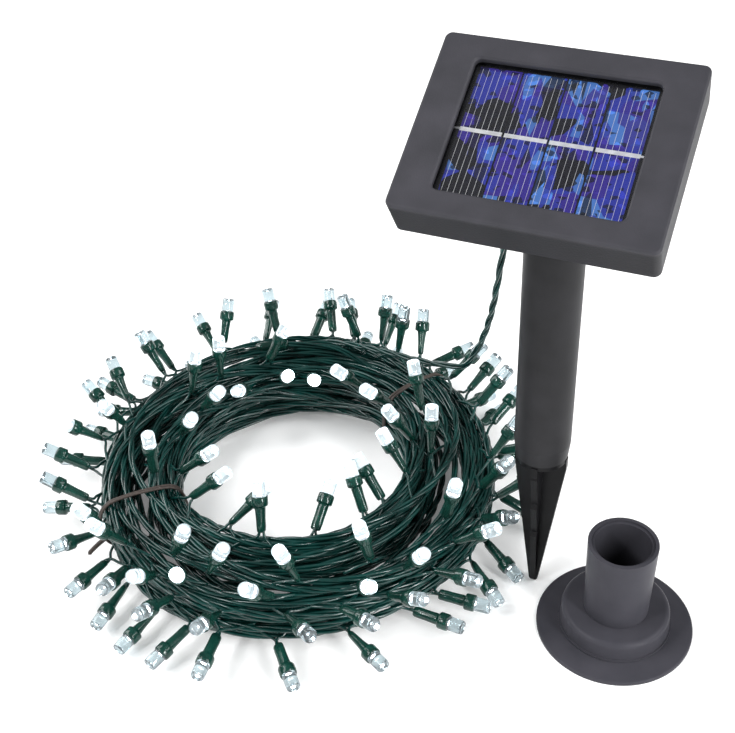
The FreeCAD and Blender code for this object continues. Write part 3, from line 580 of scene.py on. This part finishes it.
def crystal_cells():
    """Many-crystal silicon: angular shards of blue, violet, light blue and black."""
    material, tree, shader = node_material("crystal_cells")
    place = strip_coordinates(tree)
    layers = []
    for scale, stretch, turn in ((70, (1, 2.1, 1), 0.5), (130, (2.6, 1, 1), -0.35),
                                 (420, (1, 1.7, 1), 0.8)):
        mapping = tree.nodes.new("ShaderNodeMapping")
        mapping.inputs["Rotation"].default_value = (0, 0, turn)
        mapping.inputs["Scale"].default_value = stretch
        shards = tree.nodes.new("ShaderNodeTexVoronoi")
        shards.inputs["Scale"].default_value = scale
        split = tree.nodes.new("ShaderNodeSeparateColor")
        tree.links.new(place, mapping.inputs["Vector"])
        tree.links.new(mapping.outputs["Vector"], shards.inputs["Vector"])
        tree.links.new(shards.outputs["Color"], split.inputs["Color"])
        layers.append(split)
    black, violet = (0.002, 0.002, 0.008), (0.045, 0.022, 0.36)
    blue, sky = (0.028, 0.045, 0.48), (0.09, 0.27, 0.75)
    base = add_ramp(tree, layers[0].outputs["Red"],
                    [(0.0, black), (0.26, violet), (0.5, blue), (0.84, sky)])
    base.color_ramp.interpolation = "CONSTANT"
    over = add_ramp(tree, layers[1].outputs["Green"],
                    [(0.0, black), (0.3, blue), (0.72, violet), (0.9, sky)])
    over.color_ramp.interpolation = "CONSTANT"
    pick = add_ramp(tree, layers[1].outputs["Red"], [(0.0, (0, 0, 0)), (0.62, (0.85, 0.85, 0.85))])
    pick.color_ramp.interpolation = "CONSTANT"
    mixed = mix_colour(tree, "MIX", pick.outputs["Color"], base.outputs["Color"], over.outputs["Color"])
    fleck = add_ramp(tree, layers[2].outputs["Blue"], [(0.0, (0.15, 0.15, 0.15)), (0.13, (0.8, 0.8, 0.8)),
                                                       (0.9, (1.25, 1.25, 1.25))])
    fleck.color_ramp.interpolation = "CONSTANT"
    final = mix_colour(tree, "MULTIPLY", None, mixed, fleck.outputs["Color"])
    tree.links.new(final, shader.inputs["Base Color"])
    shader.inputs["Roughness"].default_value = 0.35
    shader.inputs["Specular IOR Level"].default_value = 0.2
    return material


def tie_paper():
    """Paper-covered tie wire, dark brown and fibrous."""
    material, tree, shader = node_material("tie_paper")
    fibre = add_noise(tree, 1400, 5.0, 0.7, (1, 1, 0.3))
    ramp = add_ramp(tree, fibre.outputs["Fac"], [(0.3, (0.016, 0.011, 0.009)), (0.7, (0.07, 0.052, 0.043))])
    tree.links.new(ramp.outputs["Color"], shader.inputs["Base Color"])
    shader.inputs["Roughness"].default_value = 0.6
    add_bump(tree, shader, fibre.outputs["Fac"], 0.00006)
    return material


# ---------------------------------------------------------------- pieces


def make_cord():
    """The whole cord: three strands twisted round the route. Returns the piece, its path and its length."""
    path, along = even_steps(smooth_line(cord_route(), 8), PATH_STEP * MM)
    side, other = frames_along(path)
    turn = 2 * np.pi * along / (TWIST * MM) + 1.2 * np.sin(along / 0.043) + 0.8 * np.sin(along / 0.017)
    strands = []
    for n in range(3):
        phase = turn + n * 2 * np.pi / 3
        offset = np.cos(phase)[:, None] * side + np.sin(phase)[:, None] * other
        strands.append(path + ORBIT * MM * offset)
    mesh = tube_mesh(strands, STRAND * MM, 6, "string_cord")
    cord = add_piece("string_cord", mesh, None, cord_vinyl())
    return cord, path, along[-1]


def loose_parts(node):
    """The corners of each separate solid of a CAD node."""
    mesh = frame["nodes"][node].data
    work = bmesh.new()
    work.from_mesh(mesh)
    bmesh.ops.remove_doubles(work, verts=work.verts, dist=1e-6)
    seen, parts = set(), []
    for vert in work.verts:
        if vert in seen:
            continue
        stack, part = [vert], []
        seen.add(vert)
        while stack:
            here = stack.pop()
            part.append(here.co.copy())
            for edge in here.link_edges:
                there = edge.other_vert(here)
                if there not in seen:
                    seen.add(there)
                    stack.append(there)
        parts.append(np.array(part))
    work.free()
    return parts


def lamp_axes():
    """The foot and direction of every lamp, from the CAD sleeves and caps."""
    sleeves = loose_parts("lamp_holders")
    caps = loose_parts("led_lenses")
    cap_middles = np.array([(c.min(0) + c.max(0)) / 2 for c in caps])
    found = []
    for sleeve in sleeves:
        middle = sleeve.mean(0)
        nearest = caps[np.argmin(np.linalg.norm(cap_middles - middle, axis=1))]
        direction = nearest.mean(0) - middle
        direction /= np.linalg.norm(direction)
        reach = (sleeve - middle) @ direction
        foot = middle + direction * reach.min()
        found.append((Vector(foot), Vector(direction)))
    return found


def along_axis(foot, direction, twist=0.0):
    """A matrix that puts a turned shape's foot at a point and its +Z along a direction."""
    turn = direction.to_track_quat("Z", "Y").to_matrix().to_4x4()
    return Matrix.Translation(foot) @ turn @ Matrix.Rotation(twist, 4, "Z")


def gather(name, shapes):
    """One mesh out of several (matrix, vertices, faces) shapes."""
    verts, faces = [], []
    for matrix, points, polygons in shapes:
        base = len(verts)
        verts += [matrix @ Vector(p) for p in points]
        faces += [tuple(base + k for k in face) for face in polygons]
    mesh = bpy.data.meshes.new(name)
    mesh.from_pydata(verts, [], faces)
    mesh.shade_smooth()
    return mesh


# The parts of a lamp as (radius, height) in millimetres from its foot. The sleeve's lower end is flattened.
SLEEVE = [(1.3, 0.0), (1.95, 0.2), (2.25, 0.9), (2.35, 3.5), (2.3, 6.0), (2.4, 9.0), (2.45, 10.6),
          (2.35, 11.2), (2.6, 11.5), (3.35, 11.8), (3.55, 12.2), (3.55, 15.3), (3.42, 15.85), (3.2, 16.0),
          (3.0, 15.85), (2.99, 14.2)]
SLEEVE_FLAT = [0.6, 0.6, 0.62, 0.68, 0.74, 0.82, 0.9, 0.96, 1, 1, 1, 1, 1, 1, 1, 1]
LENS = [(2.6, 14.3), (2.93, 14.5), (2.94, 18.0), (2.92, 21.6), (2.8, 22.15), (2.6, 22.38), (2.35, 22.3),
        (1.6, 21.5), (0.8, 20.95), (0.25, 20.8)]
LENS_GLOW = [0.6, 0.5, 0.4, 0.35, 0.3, 0.3, 0.5, 0.9, 1.3, 1.5]
# Painted shade on the lens, per ring: highest at its top rim and dish, where inner reflections make the
# real lens look dark.
LENS_PAINTED_SHADE = [0.5, 0.1, 0.0, 0.25, 0.8, 1.0, 0.85, 0.4, 0.1, 0.0]
CUP = [(0.7, 14.4), (0.8, 15.2), (1.7, 16.3), (1.65, 16.4), (0.8, 15.95)]
CHIP = [(0.7, 16.0), (0.72, 16.15), (0.5, 16.35), (0.1, 16.42)]
LAMP_SIDES = 20
CUP_SIDES = 12

# Millimetres outside the ring's middle line, above the ground and in front of the ring's centre.
OUTER_LAMPS = 12
TOP_LAMPS = 28
FRONT_LAMPS = 20


def make_lamps(axes):
    """Sleeves, clear caps, metal cups and chips of all lamps, each kind as one piece.

    The lamps at the outside of the coil glow less, apart from those on top at the front.
    """
    rng = np.random.default_rng(21)
    sleeves, caps, cups, chips = [], [], [], []
    glow, shade = [], []
    for foot, direction in axes:
        twist = rng.uniform(0, 2 * math.pi)
        matrix = along_axis(foot, direction, twist)
        sleeves.append((matrix, *lathe(SLEEVE, LAMP_SIDES, SLEEVE_FLAT)))
        for profile, sides, into in ((LENS, LAMP_SIDES, caps), (CUP, CUP_SIDES, cups),
                                     (CHIP, CUP_SIDES, chips)):
            into.append((matrix, *lathe(profile, sides)))
        spread = foot - COIL_CENTRE
        outward = Vector((spread.x, spread.y, 0)).length > (COIL_RADIUS + OUTER_LAMPS) * MM
        top_front = foot.z > TOP_LAMPS * MM and spread.y < -FRONT_LAMPS * MM
        bright = rng.uniform(0.12, 0.32) if outward and not top_front else rng.uniform(0.9, 1.4)
        glow += [bright * share for share in LENS_GLOW for _ in range(LAMP_SIDES)]
        shade += [share for share in LENS_PAINTED_SHADE for _ in range(LAMP_SIDES)]
    pieces = []
    for name, shapes, node, material, slot in (
            ("lamp_sleeves", sleeves, "lamp_holders", sleeve_vinyl(), "green_sleeve"),
            ("lamp_caps", caps, "led_lenses", lens_epoxy(), "clear_lens"),
            ("lamp_chips", chips, "led_dies", chip_light(), "led_chip")):
        mesh = gather(name, shapes)
        mesh.set_sharp_from_angle(angle=math.radians(50))
        piece = add_piece(name, mesh, "root", material)
        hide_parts(node)
        pieces.append(piece)
    mesh = pieces[1].data
    # glow is the lamps' light; shade is the painted shade of the lens rims.
    for attribute, values in (("glow", glow), ("shade", shade)):
        layer = mesh.attributes.new(attribute, "FLOAT", "POINT")
        layer.data.foreach_set("value", np.array(values, np.float32))
    cup_metal = metal("cup_metal", (0.45, 0.47, 0.48), 0.3)
    pieces.append(add_piece("lamp_cups", gather("lamp_cups", cups), "root", cup_metal))
    return pieces


# The lamps' wires and the ties, in millimetres: radii, then a tie's turns and its twisted tail.
WIRE = 0.62
TIE_WIRE = 0.6
WRAPS = 2.15
WRAP_STEPS = 96
TAIL = 11
TAIL_TWIST = 0.62
TAIL_STEPS = 40


def bundle_frame(angle):
    """The middle of the bundle's section at an angle, and the ways outward and round the coil."""
    middle = ring_point(angle, 0, COIL_MIDDLE)
    turn = math.radians(angle)
    return middle, Vector((math.cos(turn), math.sin(turn), 0)), Vector((-math.sin(turn), math.cos(turn), 0))


def make_lamp_wires(axes, material):
    """Two thin wires from the foot of every lamp into the bundle, one each way round the coil."""
    rng = np.random.default_rng(8)
    lines = []
    for foot, direction in axes:
        spread = foot - COIL_CENTRE
        angle = math.degrees(math.atan2(spread.y, spread.x))
        middle, _, around = bundle_frame(angle)
        inward = (middle - foot).normalized()
        across = direction.cross(inward).normalized()
        for way in (-1, 1):
            start = foot + direction * 1.6 * MM + across * way * 0.75 * MM
            knee = foot - direction * rng.uniform(2.2, 3.4) * MM + across * way * 0.9 * MM
            run = around * (way * rng.uniform(2.5, 8) * MM)
            sink = foot + inward * rng.uniform(3.4, 5.2) * MM + run
            end = sink + inward * 4 * MM + run * 0.8
            end.z = max(end.z, 2.0 * MM)
            sink.z = max(sink.z, 1.4 * MM)
            knee.z = max(knee.z, 1.2 * MM)
            lines.append(even_steps(smooth_line([start, knee, sink, end], 10), 1.2 * MM)[0])
    mesh = tube_mesh(lines, WIRE * MM, 8, "lamp_wires")
    return add_piece("lamp_wires", mesh, "root", material)


def make_tie(name, node, angle, material):
    """A tie wire wound round the bundle, its two ends twisted together."""
    middle, out, around = bundle_frame(angle)
    rng = np.random.default_rng(int(angle))
    path = []
    for n in range(WRAP_STEPS):
        share = -0.18 + WRAPS * n / WRAP_STEPS
        across, rise = shell_point(share % 1.0, -0.55) * 0.9
        across += rng.normal(0, 0.12)
        shift = (n / WRAP_STEPS - 0.5) * 2.6 + 0.4 * math.sin(n * 0.4)
        point = middle + out * across * MM + around * shift * MM
        point.z += rise * MM
        point.z = max(point.z, 0.7 * MM)
        path.append(point)
    ends = ([], [])
    root = path[-1]
    lead = (root - middle).normalized()
    for n in range(TAIL_STEPS):
        reach = n / (TAIL_STEPS - 1) * TAIL
        turn = n * 0.85
        drop = Vector((0, 0, -0.04 * reach ** 1.5 * MM))
        bend = around * (0.05 * reach ** 1.4 * MM)
        base = root + lead * (reach * MM * 0.8) + drop + bend
        offset = (around * math.cos(turn) + Vector((0, 0, 1)) * math.sin(turn)) * TAIL_TWIST * MM
        ends[0].append(base + offset)
        ends[1].append(base - offset)
    lines = [smooth_line(line, 3) for line in (path, *ends)]
    mesh = tube_mesh(lines, TIE_WIRE * MM, 8, name)
    piece = add_piece(name, mesh, "root", material)
    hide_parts(node)
    return piece


END_CAP = [(1.0, -1.2), (1.9, -1.0), (2.2, -0.4), (2.2, 1.0), (1.95, 1.4), (1.95, 1.8), (2.2, 2.2),
           (2.2, 3.4), (1.95, 3.8), (1.95, 4.2), (2.2, 4.6), (2.2, 11.5), (2.1, 12.3), (1.6, 14.0),
           (1.0, 14.8)]
END_CAP_SIDES = 24


def make_end_cap(line, material):
    """The moulded sleeve that seals the string's last end."""
    end = Vector(line[-1])
    turn = math.radians(END_ANGLE)
    direction = Vector((-math.sin(turn), math.cos(turn), 0))
    shape = (along_axis(end, direction), *lathe(END_CAP, END_CAP_SIDES))
    piece = add_piece("end_cap", gather("end_cap", [shape]), "root", material)
    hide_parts("string_end_cap")
    return piece


FINGERS = 7
FINGER_WIDTH = 0.15


def make_fingers(material):
    """Thin silver lines printed along every solar cell."""
    back = HEAD_TO_WORLD.inverted()
    shapes = []
    half = FINGER_WIDTH / 2 * MM
    for part in loose_parts("solar_cells"):
        local = np.array([back @ Vector(p) for p in part])
        low, high = local.min(0), local.max(0)
        for n in range(FINGERS):
            x = low[0] + (high[0] - low[0]) * (n + 0.5) / FINGERS
            y0, y1 = low[1] + 0.7 * MM, high[1] - 0.7 * MM
            z0, z1 = high[2] - 0.01 * MM, high[2] + 0.035 * MM
            corners = [(x - half, y0, z0), (x + half, y0, z0), (x + half, y1, z0), (x - half, y1, z0),
                       (x - half * 0.7, y0, z1), (x + half * 0.7, y0, z1), (x + half * 0.7, y1, z1),
                       (x - half * 0.7, y1, z1)]
            faces = [(3, 2, 1, 0), (4, 5, 6, 7), (0, 1, 5, 4), (1, 2, 6, 5), (2, 3, 7, 6), (3, 0, 4, 7)]
            shapes.append((HEAD_TO_WORLD, corners, faces))
    mesh = gather("cell_fingers", shapes)
    mesh.shade_flat()
    add_piece("cell_fingers", mesh, "head", material)


def dress_nodes():
    """Give every CAD node the material of its slot; the mounting base, of the tube's plastic, gets a
    lighter copy of it instead, painted light.
    """
    looks = {
        "housing_plastic": moulded_plastic("housing_plastic", (0.031, 0.031, 0.036), (0.044, 0.043, 0.051),
                                           (0.42, 0.54), 0.0007, 0.00008, 0.12),
        # The tube's plastic is kept darker than its copy on the base: painted shade on the tube's upright
        # walls.
        "tube_plastic": moulded_plastic("tube_plastic", (0.016, 0.016, 0.017), (0.023, 0.023, 0.025),
                                        (0.34, 0.44), 0.0005, 0.00002, 0.07, (1, 1, 0.25)),
        # A lighter copy of the tube's plastic for the mounting base: painted light on its upward faces.
        "tube_plastic_lit_copy": moulded_plastic("tube_plastic_lit_copy", (0.034, 0.034, 0.041), (0.047, 0.046, 0.055),
                                        (0.30, 0.40), 0.0006, 0.00003, 0.06),
        "black_plastic": moulded_plastic("black_plastic", (0.004, 0.004, 0.0045), (0.007, 0.007, 0.008),
                                         (0.30, 0.42), 0.0006, 0.00003, 0.1),
        "white_plastic": moulded_plastic("white_plastic", (0.68, 0.68, 0.65), (0.76, 0.76, 0.74),
                                         (0.35, 0.45), 0.0006, 0.00002),
        "black_rubber": moulded_plastic("black_rubber", (0.010, 0.010, 0.010), (0.018, 0.018, 0.018),
                                        (0.6, 0.75), 0.0004, 0.00003),
        "battery_wrap": moulded_plastic("battery_wrap", (0.02, 0.13, 0.04), (0.03, 0.18, 0.06),
                                        (0.22, 0.32), 0.002, 0.00002),
        "circuit_board": moulded_plastic("circuit_board", (0.008, 0.075, 0.025), (0.012, 0.11, 0.035),
                                         (0.3, 0.45), 0.0008, 0.00003),
        "steel": metal("steel", (0.62, 0.62, 0.63), 0.3),
        "silver_ribbon": metal("tinned_ribbon", (0.95, 0.95, 0.95), 0.45, 0.35),
        "clear_cover": clear_plate(),
        "solar_cell": crystal_cells(),
    }
    # Painted shade on the head's walls below its face.
    paint_wall_shade(looks["housing_plastic"])
    for sub in frame["record"]["subparts"]:
        # The mounting base gets the lit copy of its plastic: painted light.
        slot = "tube_plastic_lit_copy" if sub["node"] == "mounting_base" else sub["material_slot"]
        if slot in looks:
            for place in frame["nodes"][sub["node"]].material_slots:
                place.material = looks[slot]
    return looks


# ---------------------------------------------------------------- the whole

make_camera()
make_floor()
make_studio()
looks = dress_nodes()
cord, path, cord_length = make_cord()
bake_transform(cord)
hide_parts("lead_cable", "light_coil")
axes = lamp_axes()
lamps = make_lamps(axes)
wires = make_lamp_wires(axes, cord.data.materials[0])
paper = tie_paper()
ties = [make_tie(node + "_wire", node, angle, paper) for node, angle in TIES.items()]
end_cap = make_end_cap(path, lamps[0].data.materials[0])
make_fingers(looks["silver_ribbon"])
